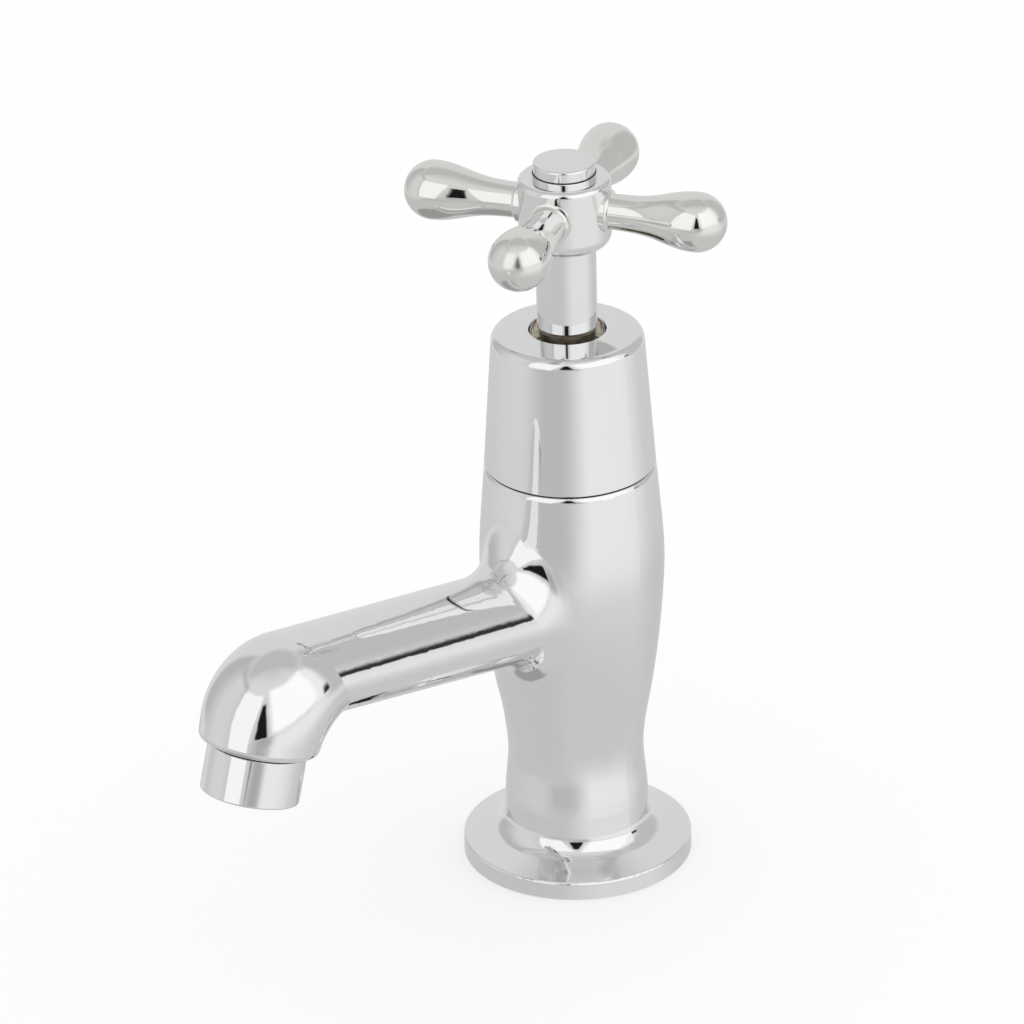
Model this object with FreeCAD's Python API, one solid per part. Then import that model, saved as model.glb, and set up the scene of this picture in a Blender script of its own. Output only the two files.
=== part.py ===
import FreeCAD, Part
import math
import os

# A cross handle pillar tap, in millimetres.
# +Z is up, the origin is the centre of the foot flange's underside (the top of the basin's deck),
# and the spout points along -Y.

# -------------------------------------------------------- body: foot and column
flange_radius = 26.0
flange_rim_height = 4.1
flange_rim_round = 0.5
foot_radius = 16.5
foot_height = 7.2            # where the flange's sloping top would meet the foot's wall
foot_fillet = 4.6
waist_start_radius = 16.25
waist_start_height = 15.0
waist_radius = 15.4
waist_height = 25.5
hip_radius = 17.55
hip_height = 42.0
belly_radius = 20.7
belly_height = 70.5
seam_radius = 19.2           # body and bonnet meet here
seam_height = 98.0
seam_chamfer = 0.25          # small chamfer on the bonnet's lower edge
shoulder_round = 1.6         # the body's rounded top edge, just below the seam
shoulder_lean = 4.86         # degrees that the body's wall leans inwards there

# -------------------------------------------------------- body: spout
# Seen from the side, an upper and a lower guide line bound the spout. Each is a straight that climbs
# outwards, an arc that turns down and a straight to the outlet. Every section between them is round.
spout_height = 63.1          # where the middle of the spout's straight would meet the column's axis
spout_depth = 22.4           # from guide to guide there, straight up
spout_rise = 10.5            # degrees
spout_flare = 0.7            # degrees that each guide opens outwards from the middle
upper_guide_arc = 20.0
lower_guide_arc = 6.4
spout_reach = 100.6          # column axis to the middle of the outlet face
outlet_drop = 14.65          # from the middle of the straight, carried on, down to the outlet face
outlet_tilt = 16.8           # degrees that the outlet leans outwards from straight down
outlet_face_radius = 13.3
outlet_round = 1.5
root_fillet = 10.0           # blend between the spout and the column
bend_sections = 10

# -------------------------------------------------------- body: waterways
inlet_bore = 6.5
core_radius = 11.0           # the hollow cast into the column above the shank
core_cone = 4.0              # height over which the hollow narrows to the inlet bore again
core_roof = 5.5              # metal between the hollow and the chamber round the seat post
seat_depth = 28.0            # from the seam down to the seat, which the cartridge's seal presses on
seat_post_radius = 9.6
chamber_radius = 14.2
chamber_depth = 41.5         # from the seam down to the chamber's floor
socket_depth = 14.0          # from the seam down to the end of the cartridge's thread
spout_bore = 8.2

# -------------------------------------------------------- inlet shank and what fixes the tap to a deck
shank_radius = 10.48         # G 1/2 thread, nominal outer diameter 20.955
shank_below = 50.0
shank_in_body = 12.0
shank_chamfer = 1.0
shank_seal_wire = 0.9
deck_grip = 20.0             # clear height between the flange and the under-deck washer
gasket_inner = 12.5
gasket_outer = 22.5
gasket_thickness = 1.6
soft_washer_radius = 18.0
soft_washer_thickness = 2.5
clamp_washer_radius = 17.0
clamp_washer_thickness = 1.5
backnut_across_flats = 30.0
backnut_thickness = 7.0
washer_clearance = 0.25

# -------------------------------------------------------- bonnet
bonnet_height = 32.6
bonnet_crown = 0.7           # rise of the bonnet's top from its rim to its hole
bonnet_top_radius = 16.95
bonnet_rim_round = 2.2
bonnet_hole = 8.6
bonnet_hole_round = 0.35
bonnet_cavity = 16.0
bonnet_thread_length = 12.6
bonnet_roof = 5.0            # from the top down to the thread inside
bonnet_roof_clearance = 0.2  # between the cartridge's top and the bonnet's roof
spigot_clearance = 0.25      # round the ring on top of the body that centres the bonnet
spigot_height = 3.4
bonnet_seal_wire = 0.95

# -------------------------------------------------------- cartridge
body_thread_radius = 10.45
housing_barrel_radius = 12.0
housing_neck_groove = 0.8
housing_top_chamfer = 0.6
hexagon_across_flats = 24.0
hexagon_height = 6.0
fibre_washer_thickness = 1.0
fibre_washer_radius = 13.6
nose_barrel_radius = 9.2
nose_bore = 7.7
nose_lift = 1.0              # between the cartridge's nose and the seat
seal_height = 2.4
seal_inner = 5.4
seal_lip = 0.4
disc_clearance = 0.3
disc_thickness = 3.0
disc_port_inner = 1.6
disc_port_outer = 6.0
disc_port_angle = 76.0
window_height = 4.0
window_width = 8.0
carrier_height = 4.6
carrier_clearance = 0.4
thrust_thickness = 0.8
spindle_radius = 5.0
running_clearance = 0.08     # between the turning spindle and what holds it
spindle_seal_lifts = (9.7, 15.7)  # middles of the spindle's two seals above the thrust washer
spindle_seal_wire = 0.7
circlip_thickness = 0.8
circlip_radius = 6.4
circlip_gap = 4.0
circlip_land = 1.3           # spindle left above its ring before the teeth start

# -------------------------------------------------------- handle
spline_teeth = 20
spline_outer = 4.0
spline_depth = 0.45
spline_clearance = 0.06
handle_turned = 23.4         # degrees from the spout's line to the nearest arm, as it stands closed
handle_gap = 2.3             # between the bonnet's top and the sleeve
sleeve_radius = 6.7
sleeve_length = 17.7
sleeve_lip_radius = 6.2
sleeve_lip_edge = 0.1
sleeve_lip_height = 1.2
sleeve_roof = 3.6            # from the spindle's top to the hub
hub_radius = 10.3
hub_height = 16.7
hub_bottom_round = 3.2
hub_top_round = 1.3
hub_collar_radius = 7.05
hub_collar_height = 0.5
cap_seat_radius = 7.2
cap_seat_height = 0.9
cap_seat_round = 0.2
spigot_depth = 5.2           # how far the sleeve reaches into the hub
sleeve_spigot_radius = 5.4
arm_lift = 9.5               # arms' axis above the hub's underside
arm_count = 4
arm_seat = 9.0               # distance from the axis where an arm's shoulder bears in the hub
arm_root_radius = 4.8
arm_root_end = 10.4          # where the root's fillet starts
arm_neck_radius = 3.95
arm_middle = 20.5
arm_middle_radius = 4.75
arm_ball_centre = 30.5
arm_ball_radius = 6.65
arm_stud_radius = 2.5
arm_stud_length = 4.0
screw_radius = 2.5
screw_clearance = 0.1
screw_head_radius = 4.3
screw_head_height = 2.6
screw_head_round = 0.4
screw_length = 26.0
screw_socket = 1.75
screw_socket_depth = 1.6
screw_well_radius = 5.2
screw_well_depth = 4.3       # from the hub's top to the face under the screw's head
cap_radius = 6.9
cap_thickness = 2.7
cap_round = 0.55
cap_plug_clearance = 0.25
cap_plug_depth = 1.7
cap_seal_wire = 0.45

# -------------------------------------------------------- aerator
collar_radius = 10.9
collar_height = 10.6
collar_edge_round = 0.4
collar_thread_radius = 9.9
collar_thread_length = 5.5
collar_bore = 8.7
collar_lip_radius = 7.9
collar_lip_height = 0.9
collar_top_round = 0.2
seam_gap = 0.6               # the seal that shows between the spout and the collar
seam_seal_inset = 0.45       # how far that seal lies inside the collar's skin
aerator_washer_thickness = 2.0
insert_clearance = 0.1
insert_wall = 1.2
insert_roof = 1.5
insert_hole = 0.9
insert_hole_ring = 4.8
insert_hole_count = 12
washer_edge_clearance = 0.3
washer_ring_width = 2.9
screen_thickness = 0.8
screen_hole = 0.75
screen_pitch = 2.3
screen_rings = 3

through = 1.0                # how far a cutting tool runs past what it cuts

# -------------------------------------------------------- heights and fits that follow
chamber_floor = seam_height - chamber_depth
chamber_top = seam_height - socket_depth
seat_height = seam_height - seat_depth
core_top = chamber_floor - core_roof - core_cone
spigot_radius = bonnet_cavity - spigot_clearance
spigot_top = seam_height + spigot_height
bonnet_seal_height = seam_height + spigot_height / 2
bonnet_top = seam_height + bonnet_height
bonnet_thread_bottom = bonnet_top - bonnet_roof - bonnet_thread_length
housing_top = bonnet_top - bonnet_roof - bonnet_roof_clearance
hexagon_bottom = spigot_top + fibre_washer_thickness
hexagon_top = hexagon_bottom + hexagon_height
fixed_disc_bottom = seat_height + seal_height
moving_disc_bottom = fixed_disc_bottom + disc_thickness
carrier_bottom = moving_disc_bottom + disc_thickness
carrier_top = carrier_bottom + carrier_height
thrust_top = carrier_top + thrust_thickness
disc_radius = nose_bore - disc_clearance
carrier_radius = nose_bore - carrier_clearance
spindle_bore = spindle_radius + running_clearance
clip_bottom = housing_top + running_clearance
clip_top = clip_bottom + circlip_thickness
spline_bottom = clip_top + circlip_land
sleeve_bottom = bonnet_top + handle_gap
hub_bottom = sleeve_bottom + sleeve_length
hub_top = hub_bottom + hub_height
sleeve_top = hub_bottom + spigot_depth
spindle_top = hub_bottom - sleeve_roof
screw_hole = screw_radius + screw_clearance
screw_well_floor = hub_top - screw_well_depth
screw_bottom = screw_well_floor - screw_length
arm_height = hub_bottom + arm_lift
cap_bottom = hub_top + cap_seat_height
cap_plug_radius = screw_well_radius - cap_plug_clearance
washer_top = -deck_grip
clamp_top = washer_top - soft_washer_thickness
nut_top = clamp_top - clamp_washer_thickness
collar_top = -seam_gap
collar_bottom = collar_top - collar_height
insert_bottom = collar_bottom + collar_lip_height
outlet_bore_depth = collar_thread_length + aerator_washer_thickness
seam_seal_radius = collar_radius - seam_seal_inset


V = FreeCAD.Vector
Z_AXIS = V(0, 0, 1)
ORIGIN = V(0, 0, 0)


# -------------------------------------------------------- drawing helpers
def rz(radius, height):
    """A point of a turned profile, drawn in the XZ plane."""
    return V(radius, 0, height)


def chain(corners, closed=True):
    """Straight edges through (radius, height[, round]) corners, with the rounds as tangent arcs."""
    points = [rz(corner[0], corner[1]) for corner in corners]
    rounds = [corner[2] if len(corner) > 2 else 0.0 for corner in corners]
    count = len(points)
    entries, exits, edges = [], [], []
    for i, point in enumerate(points):
        if not rounds[i]:
            entries.append(point)
            exits.append(point)
            continue
        back = (points[i - 1] - point).normalize()
        ahead = (points[(i + 1) % count] - point).normalize()
        half = back.getAngle(ahead) / 2
        reach = rounds[i] / math.tan(half)
        entries.append(point + back * reach)
        exits.append(point + ahead * reach)
    for i, point in enumerate(points):
        if rounds[i]:
            bisector = ((entries[i] - point) + (exits[i] - point)).normalize()
            half = (entries[i] - point).getAngle(exits[i] - point) / 2
            middle = point + bisector * (rounds[i] / math.sin(half) - rounds[i])
            edges.append(Part.Arc(entries[i], middle, exits[i]).toShape())
        if i + 1 < count or closed:
            start, end = exits[i], entries[(i + 1) % count]
            if (end - start).Length > 1e-6:
                edges.append(Part.LineSegment(start, end).toShape())
    return edges


def spin(edges):
    """A closed profile in the XZ plane turned into a solid about Z."""
    face = Part.Face(Part.Wire(edges))
    solid = face.revolve(ORIGIN, Z_AXIS, 360)
    return Part.Solid(solid.Shells[0]) if solid.ShapeType != "Solid" else solid


def turned(corners):
    """A solid turned about Z from (radius, height[, round]) corners."""
    return spin(chain(corners))


def tube(outer, inner, bottom, top, chamfer=0.0):
    """A ring between two heights, with its outer edges chamfered where asked."""
    corners = [(inner, bottom), (outer - chamfer, bottom)]
    if chamfer:
        corners += [(outer, bottom + chamfer), (outer, top - chamfer)]
        corners += [(outer - chamfer, top)]
    else:
        corners += [(outer, top)]
    corners += [(inner, top)]
    return turned(corners)


def rod(radius, bottom, top):
    """A plain cylinder between two heights."""
    return Part.makeCylinder(radius, top - bottom, rz(0, bottom), Z_AXIS)


def o_ring(middle_radius, wire_radius, height):
    """A ring of round rubber."""
    return Part.makeTorus(middle_radius, wire_radius, rz(0, height), Z_AXIS)


def polygon_prism(points, bottom, top):
    """A prism on a closed outline of (x, y) points."""
    corners = [V(x, y, bottom) for x, y in points]
    wire = Part.makePolygon(corners + [corners[0]])
    return Part.Face(wire).extrude(V(0, 0, top - bottom))


def hexagon(across_flats, bottom, top):
    """A hexagonal prism with its corners turned off at both ends."""
    corner = across_flats / math.sqrt(3)
    points = [(corner * math.cos(math.radians(60 * k)), corner * math.sin(math.radians(60 * k)))
              for k in range(6)]
    chamfer = (corner - across_flats / 2) * 0.9
    limit = tube(corner, 0, bottom, top, chamfer)
    return polygon_prism(points, bottom, top).common(limit)


def sector(inner, outer, start, end, bottom, top):
    """A slice of a ring between two angles in degrees."""
    def at(radius, degrees):
        turn = math.radians(degrees)
        return V(radius * math.cos(turn), radius * math.sin(turn), bottom)
    middle = (start + end) / 2
    edges = [Part.Arc(at(outer, start), at(outer, middle), at(outer, end)).toShape(),
             Part.LineSegment(at(outer, end), at(inner, end)).toShape(),
             Part.Arc(at(inner, end), at(inner, middle), at(inner, start)).toShape(),
             Part.LineSegment(at(inner, start), at(outer, start)).toShape()]
    return Part.Face(Part.Wire(edges)).extrude(V(0, 0, top - bottom))


def about_z(shape, degrees):
    """A copy of a shape turned about the column's axis."""
    copy = shape.copy()
    copy.rotate(ORIGIN, Z_AXIS, degrees)
    return copy


def spline_outline(outer, depth):
    """The toothed outline of the spindle's top."""
    points = []
    step = 2 * math.pi / spline_teeth
    for tooth in range(spline_teeth):
        flanks = ((-0.30, outer - depth), (-0.12, outer), (0.12, outer), (0.30, outer - depth))
        for part, radius in flanks:
            turn = (tooth + part) * step
            points.append((radius * math.cos(turn), radius * math.sin(turn)))
    return points


# -------------------------------------------------------- the spout's guides
class Guide:
    """A straight, a tangent arc that turns down and a straight, as (outwards, up) points."""

    def __init__(self, height, rise, arc_radius, end, end_slope):
        slope = math.radians(rise)
        along = (math.cos(slope), math.sin(slope))
        last = (math.cos(end_slope), math.sin(end_slope))
        lead = (along[0] * last[1] - along[1] * last[0])
        reach = (end[0] * last[1] - (end[1] - height) * last[0]) / lead
        corner = (along[0] * reach, height + along[1] * reach)
        half_turn = math.tan((slope - end_slope) / 2)
        room = min(reach, math.dist(corner, end))
        tangent = min(arc_radius * half_turn, room)
        self.height = height
        self.along = along
        self.slope = slope
        self.end_slope = end_slope
        self.arc_radius = tangent / half_turn
        self.arc_start = (corner[0] - along[0] * tangent, corner[1] - along[1] * tangent)
        self.arc_end = (corner[0] + last[0] * tangent, corner[1] + last[1] * tangent)
        self.end = end

    def on_straight(self, out):
        """The point of the first straight at a distance from the column's axis."""
        return out, self.height + out * self.along[1] / self.along[0]

    def on_bend(self, share):
        """The point at a share of the arc and the last straight together."""
        arc = self.arc_radius * (self.slope - self.end_slope)
        last = math.dist(self.arc_end, self.end)
        length = share * (arc + last)
        if length <= arc:
            slope = self.slope - length / self.arc_radius
            return (self.arc_start[0] + self.arc_radius * (math.sin(self.slope) - math.sin(slope)),
                    self.arc_start[1] + self.arc_radius * (math.cos(slope) - math.cos(self.slope)))
        part = (length - arc) / last
        return tuple(a + (b - a) * part for a, b in zip(self.arc_end, self.end))


outlet_slope = math.radians(outlet_tilt - 90)
outlet_height = spout_height + spout_reach * math.tan(math.radians(spout_rise)) - outlet_drop
outlet_centre = V(0, -spout_reach, outlet_height)
outlet_up = V(0, -math.cos(math.radians(outlet_tilt)), math.sin(math.radians(outlet_tilt)))


def outlet_edge(side):
    """The outlet face's outer (1) or inner (-1) edge, as (outwards, up)."""
    point = outlet_centre + outlet_up * (outlet_face_radius * side)
    return -point.y, point.z


upper_guide = Guide(spout_height + spout_depth / 2, spout_rise - spout_flare, upper_guide_arc,
                    outlet_edge(1), outlet_slope)
lower_guide = Guide(spout_height - spout_depth / 2, spout_rise + spout_flare, lower_guide_arc,
                    outlet_edge(-1), outlet_slope)


def round_section(upper, lower, radius):
    """A circle square to the line between two guide points, as two arcs from its top to its bottom."""
    top, bottom = V(0, -upper[0], upper[1]), V(0, -lower[0], lower[1])
    centre = (top + bottom) / 2
    if radius:
        half = (top - bottom).normalize() * radius
        top, bottom = centre + half, centre - half
    side = V((top - bottom).Length / 2, 0, 0)
    return Part.Wire([Part.Arc(top, centre + side, bottom).toShape(),
                      Part.Arc(bottom, centre - side, top).toShape()])


def loft_between_guides(start, radius=None):
    """A round solid between the guides, or of one radius along their middle, from start to the outlet."""
    guides = (upper_guide, lower_guide)
    first = round_section(*[guide.on_straight(start) for guide in guides], radius)
    bend = [round_section(*[guide.on_bend(k / bend_sections) for guide in guides], radius)
            for k in range(bend_sections + 1)]
    straight = Part.makeLoft([first, bend[0]], True, True)
    return straight.fuse(Part.makeLoft(bend, True, False))


def on_outlet(shape):
    """Place a shape made about Z, with the outlet face at height 0, on the spout's outlet."""
    copy = shape.copy()
    copy.rotate(ORIGIN, V(1, 0, 0), -outlet_tilt)
    copy.translate(outlet_centre)
    return copy


# -------------------------------------------------------- the body
def column():
    """Foot flange and waisted column, solid."""
    slope_start = rz(foot_radius, foot_height)
    wall_start = rz(waist_start_radius, waist_start_height)
    edges = chain([(0, 0), (flange_radius, 0), (flange_radius, flange_rim_height, flange_rim_round),
                   (foot_radius, foot_height, foot_fillet),
                   (waist_start_radius, waist_start_height)], False)
    lean = math.radians(shoulder_lean)
    up_wall = rz(-math.sin(lean), math.cos(lean))
    reach = shoulder_round / math.tan((math.pi / 2 + lean) / 2)
    shoulder = rz(seam_radius, seam_height) - up_wall * reach
    side = Part.BSplineCurve()
    side.interpolate(Points=[wall_start, rz(waist_radius, waist_height), rz(hip_radius, hip_height),
                             rz(belly_radius, belly_height), shoulder],
                     InitialTangent=(wall_start - slope_start).normalize(),
                     FinalTangent=up_wall)
    edges.append(side.toShape())
    top = seam_height + spigot_height
    edges += chain([(shoulder.x, shoulder.z), (seam_radius, seam_height, shoulder_round),
                    (spigot_radius, seam_height), (spigot_radius, top), (0, top)], False)
    edges.append(Part.LineSegment(rz(0, top), rz(0, 0)).toShape())
    return spin(edges)


def junction(shape, first, second):
    """The edges of a joined shape that lie on the skins of both solids."""
    found = []
    for edge in shape.Edges:
        spots = [edge.valueAt(edge.FirstParameter + (edge.LastParameter - edge.FirstParameter) * share)
                 for share in (0.1, 0.5, 0.9)]
        if all(skin.distToShape(Part.Vertex(spot))[0] < 0.01
               for spot in spots for skin in (first.Shells[0], second.Shells[0])):
            found.append(edge)
    return found


def seal_groove():
    """The groove round the body's spigot that holds the bonnet's seal."""
    half = bonnet_seal_wire
    middle = bonnet_seal_height
    inner = bonnet_cavity - 2 * bonnet_seal_wire
    return tube(spigot_radius + through, inner, middle - half, middle + half)


def body():
    """The cast body with its waterways, sockets and seats cut."""
    post, branch = column(), loft_between_guides(chamber_radius / 2)
    shape = post.fuse(branch)
    shape = shape.makeFillet(root_fillet, junction(shape, post, branch))
    face_normal = V(1, 0, 0).cross(outlet_up)
    rim = [edge for edge in shape.Edges
           if all(abs((vertex.Point - outlet_centre).dot(face_normal)) < 0.01 for vertex in edge.Vertexes)
           and abs((edge.CenterOfMass - outlet_centre).dot(face_normal)) < 0.01]
    shape = shape.makeFillet(outlet_round, rim)
    hollow = turned([(0, shank_in_body), (inlet_bore, shank_in_body),
                     (core_radius, shank_in_body + core_cone), (core_radius, core_top),
                     (inlet_bore, core_top + core_cone), (0, core_top + core_cone)])
    cuts = [hollow,
            rod(inlet_bore, core_top, seat_height),
            rod(shank_radius, -through, shank_in_body),
            tube(gasket_outer, gasket_inner, -through, gasket_thickness),
            tube(chamber_radius, seat_post_radius, chamber_floor, seat_height),
            rod(chamber_radius, seat_height, chamber_top),
            rod(body_thread_radius, chamber_top, spigot_top),
            seal_groove(),
            on_outlet(rod(collar_thread_radius, -through, outlet_bore_depth)),
            loft_between_guides((seat_post_radius + chamber_radius) / 2, spout_bore)]
    for cut in cuts:
        shape = shape.cut(cut)
    return shape


# -------------------------------------------------------- shank and fixings
def inlet_shank():
    """The threaded tail that the supply screws on to."""
    groove_radius = shank_radius - 2 * shank_seal_wire
    groove_bottom = shank_in_body - 2 * shank_seal_wire
    return turned([(inlet_bore, -shank_below), (shank_radius - shank_chamfer, -shank_below),
                   (shank_radius, shank_chamfer - shank_below), (shank_radius, groove_bottom),
                   (groove_radius, groove_bottom), (groove_radius, shank_in_body),
                   (inlet_bore, shank_in_body)])


def shank_seal():
    """The square ring that seals the tail in the body."""
    return tube(shank_radius, shank_radius - 2 * shank_seal_wire,
                shank_in_body - 2 * shank_seal_wire, shank_in_body)


def under_deck_ring(radius, bottom, top):
    """A washer round the tail."""
    return tube(radius, shank_radius + washer_clearance, bottom, top)


def backnut():
    """The hexagonal nut under the deck."""
    bottom = nut_top - backnut_thickness
    bore = rod(shank_radius, bottom - through, nut_top + through)
    return hexagon(backnut_across_flats, bottom, nut_top).cut(bore)


# -------------------------------------------------------- bonnet
def bonnet():
    """The tapered cover, open below, threaded on to the cartridge inside."""
    roof = bonnet_top - bonnet_roof
    return turned([(bonnet_cavity, seam_height), (seam_radius - seam_chamfer, seam_height),
                   (seam_radius, seam_height + seam_chamfer),
                   (bonnet_top_radius, bonnet_top - bonnet_crown, bonnet_rim_round),
                   (bonnet_hole, bonnet_top, bonnet_hole_round),
                   (bonnet_hole, roof), (housing_barrel_radius, roof),
                   (housing_barrel_radius, bonnet_thread_bottom), (bonnet_cavity, bonnet_thread_bottom)])


def bonnet_seal():
    """The ring of rubber between the body's spigot and the bonnet."""
    return o_ring(bonnet_cavity - bonnet_seal_wire, bonnet_seal_wire, bonnet_seal_height)


# -------------------------------------------------------- cartridge
def cartridge_housing():
    """Brass housing: a threaded nose with two windows, a hexagon and the barrel for the bonnet."""
    nose_bottom = seat_height + nose_lift
    neck_radius = housing_barrel_radius - housing_neck_groove
    shape = turned([(nose_bore, nose_bottom), (nose_barrel_radius, nose_bottom),
                    (nose_barrel_radius, chamber_top), (body_thread_radius, chamber_top),
                    (body_thread_radius, hexagon_bottom), (neck_radius, hexagon_bottom),
                    (neck_radius, hexagon_top), (housing_barrel_radius, hexagon_top),
                    (housing_barrel_radius, housing_top - housing_top_chamfer),
                    (housing_barrel_radius - housing_top_chamfer, housing_top),
                    (spindle_bore, housing_top), (spindle_bore, thrust_top), (nose_bore, thrust_top)])
    collar = hexagon(hexagon_across_flats, hexagon_bottom, hexagon_top)
    collar = collar.cut(rod(neck_radius - through, hexagon_bottom - through, hexagon_top + through))
    shape = shape.fuse(collar)
    window = Part.makeBox(window_width, 4 * nose_barrel_radius, window_height,
                          V(-window_width / 2, -2 * nose_barrel_radius, moving_disc_bottom))
    core = rod(nose_bore - through, moving_disc_bottom - through, carrier_bottom + window_height)
    return shape.cut(window.cut(core)).removeSplitter()


def cartridge_washer():
    """The fibre washer between the body and the housing's hexagon."""
    return tube(fibre_washer_radius, body_thread_radius, spigot_top, hexagon_bottom)


def seat_seal():
    """The lipped rubber seal between the seat post and the fixed disc."""
    return turned([(seal_inner, seat_height), (nose_bore - seal_lip, seat_height),
                   (nose_bore, seat_height + seal_height / 2), (nose_bore, fixed_disc_bottom),
                   (seal_inner, fixed_disc_bottom)])


def ceramic_disc(bottom, turn):
    """A ceramic disc with two opposite ports."""
    shape = rod(disc_radius, bottom, bottom + disc_thickness)
    for middle in (0, 180):
        start = middle + turn - disc_port_angle / 2
        port = sector(disc_port_inner, disc_port_outer, start, start + disc_port_angle,
                      bottom - through, bottom + disc_thickness + through)
        shape = shape.cut(port)
    return shape


def thrust_washer():
    """The slippery washer that the disc carrier bears up against."""
    return tube(carrier_radius, spindle_bore, carrier_top, thrust_top)


def spindle():
    """The brass spindle: disc carrier, grooved shank and toothed top, bored for the handle's screw."""
    groove = spindle_radius - 2 * spindle_seal_wire
    corners = [(0, carrier_bottom), (carrier_radius, carrier_bottom), (carrier_radius, carrier_top),
               (spindle_radius, carrier_top)]
    for lift in spindle_seal_lifts:
        bottom, top = thrust_top + lift - spindle_seal_wire, thrust_top + lift + spindle_seal_wire
        corners += [(spindle_radius, bottom), (groove, bottom), (groove, top), (spindle_radius, top)]
    corners += [(spindle_radius, clip_bottom), (spline_outer, clip_bottom), (spline_outer, clip_top),
                (spindle_radius, clip_top), (spindle_radius, spline_bottom), (0, spline_bottom)]
    teeth = polygon_prism(spline_outline(spline_outer, spline_depth), spline_bottom, spindle_top)
    return turned(corners).fuse(teeth).cut(rod(screw_radius, screw_bottom, spindle_top + through))


def spindle_seals():
    """The two rings of rubber in the spindle's grooves."""
    middle_radius = spindle_radius - spindle_seal_wire
    return Part.makeCompound([o_ring(middle_radius, spindle_seal_wire, thrust_top + lift)
                              for lift in spindle_seal_lifts])


def circlip():
    """The open ring that keeps the spindle in the housing."""
    opening = Part.makeBox(circlip_gap, 2 * circlip_radius, clip_top - clip_bottom + 2 * through,
                           V(-circlip_gap / 2, 0, clip_bottom - through))
    return tube(circlip_radius, spline_outer, clip_bottom, clip_top).cut(opening)


# -------------------------------------------------------- handle
def handle_sleeve():
    """The round stem below the hub, with the toothed socket for the spindle."""
    shape = turned([(0, sleeve_bottom), (sleeve_lip_radius, sleeve_bottom),
                    (sleeve_lip_radius, sleeve_bottom + sleeve_lip_edge),
                    (sleeve_radius, sleeve_bottom + sleeve_lip_height), (sleeve_radius, hub_bottom),
                    (sleeve_spigot_radius, hub_bottom), (sleeve_spigot_radius, sleeve_top), (0, sleeve_top)])
    socket = polygon_prism(spline_outline(spline_outer + spline_clearance, spline_depth),
                           sleeve_bottom - through, spindle_top)
    return shape.cut(socket).cut(rod(screw_hole, spindle_top - through, sleeve_top + through))


def along_arm(radius, start, length, turn):
    """A cylinder on the axis of the arm at a turn, from a distance out from the handle's axis."""
    return about_z(Part.makeCylinder(radius, length, V(start, 0, arm_height), V(1, 0, 0)), turn)


def arm_turn(index):
    """The turn of one arm about the handle's axis, from +X."""
    return handle_turned - 90 + index * 360 / arm_count


def hub():
    """The handle's hub, bored for the sleeve, the screw and the arms."""
    shape = turned([(sleeve_spigot_radius, hub_bottom), (hub_collar_radius, hub_bottom),
                    (hub_collar_radius, hub_bottom + hub_collar_height),
                    (hub_radius, hub_bottom + hub_collar_height, hub_bottom_round),
                    (hub_radius, hub_top, hub_top_round), (cap_seat_radius, hub_top),
                    (cap_seat_radius, cap_bottom, cap_seat_round), (screw_well_radius, cap_bottom),
                    (screw_well_radius, screw_well_floor), (screw_hole, screw_well_floor),
                    (screw_hole, sleeve_top), (sleeve_spigot_radius, sleeve_top)])
    for index in range(arm_count):
        turn = arm_turn(index)
        shape = shape.cut(along_arm(arm_root_radius, arm_seat, hub_radius, turn))
        shape = shape.cut(along_arm(arm_stud_radius, arm_seat - arm_stud_length, hub_radius, turn))
    return shape


def arm(index):
    """One lever arm: a stud, a slim neck that swells smoothly, and a ball end."""
    def at(out, radius):
        return V(out, 0, radius)

    fillet = arm_root_radius - arm_neck_radius
    neck_start = arm_root_end + fillet
    root = Part.Arc(at(arm_root_end, arm_root_radius),
                    at(neck_start - fillet / math.sqrt(2), arm_root_radius - fillet / math.sqrt(2)),
                    at(neck_start, arm_neck_radius))
    neck = Part.BSplineCurve()
    neck.interpolate(Points=[at(neck_start, arm_neck_radius), at(arm_middle, arm_middle_radius),
                             at(arm_ball_centre, arm_ball_radius)],
                     InitialTangent=V(1, 0, 0), FinalTangent=V(1, 0, 0))
    diagonal = arm_ball_radius / math.sqrt(2)
    ball = Part.Arc(at(arm_ball_centre, arm_ball_radius), at(arm_ball_centre + diagonal, diagonal),
                    at(arm_ball_centre + arm_ball_radius, 0))
    stud_end = arm_seat - arm_stud_length
    corners = [at(arm_ball_centre + arm_ball_radius, 0), at(stud_end, 0), at(stud_end, arm_stud_radius),
               at(arm_seat, arm_stud_radius), at(arm_seat, arm_root_radius),
               at(arm_root_end, arm_root_radius)]
    edges = [root.toShape(), neck.toShape(), ball.toShape()]
    edges += [Part.LineSegment(a, b).toShape() for a, b in zip(corners, corners[1:])]
    shape = Part.Face(Part.Wire(edges)).revolve(ORIGIN, V(1, 0, 0), 360)
    shape.translate(V(0, 0, arm_height))
    return about_z(shape, arm_turn(index))


def handle_screw():
    """The socket-head screw that draws the hub and sleeve down on to the spindle."""
    head_top = screw_well_floor + screw_head_height
    shape = turned([(0, screw_bottom), (screw_radius, screw_bottom),
                    (screw_radius, screw_well_floor), (screw_head_radius, screw_well_floor),
                    (screw_head_radius, head_top, screw_head_round), (0, head_top)])
    socket = hexagon(2 * screw_socket, head_top - screw_socket_depth, head_top + through)
    return shape.cut(socket)


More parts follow.
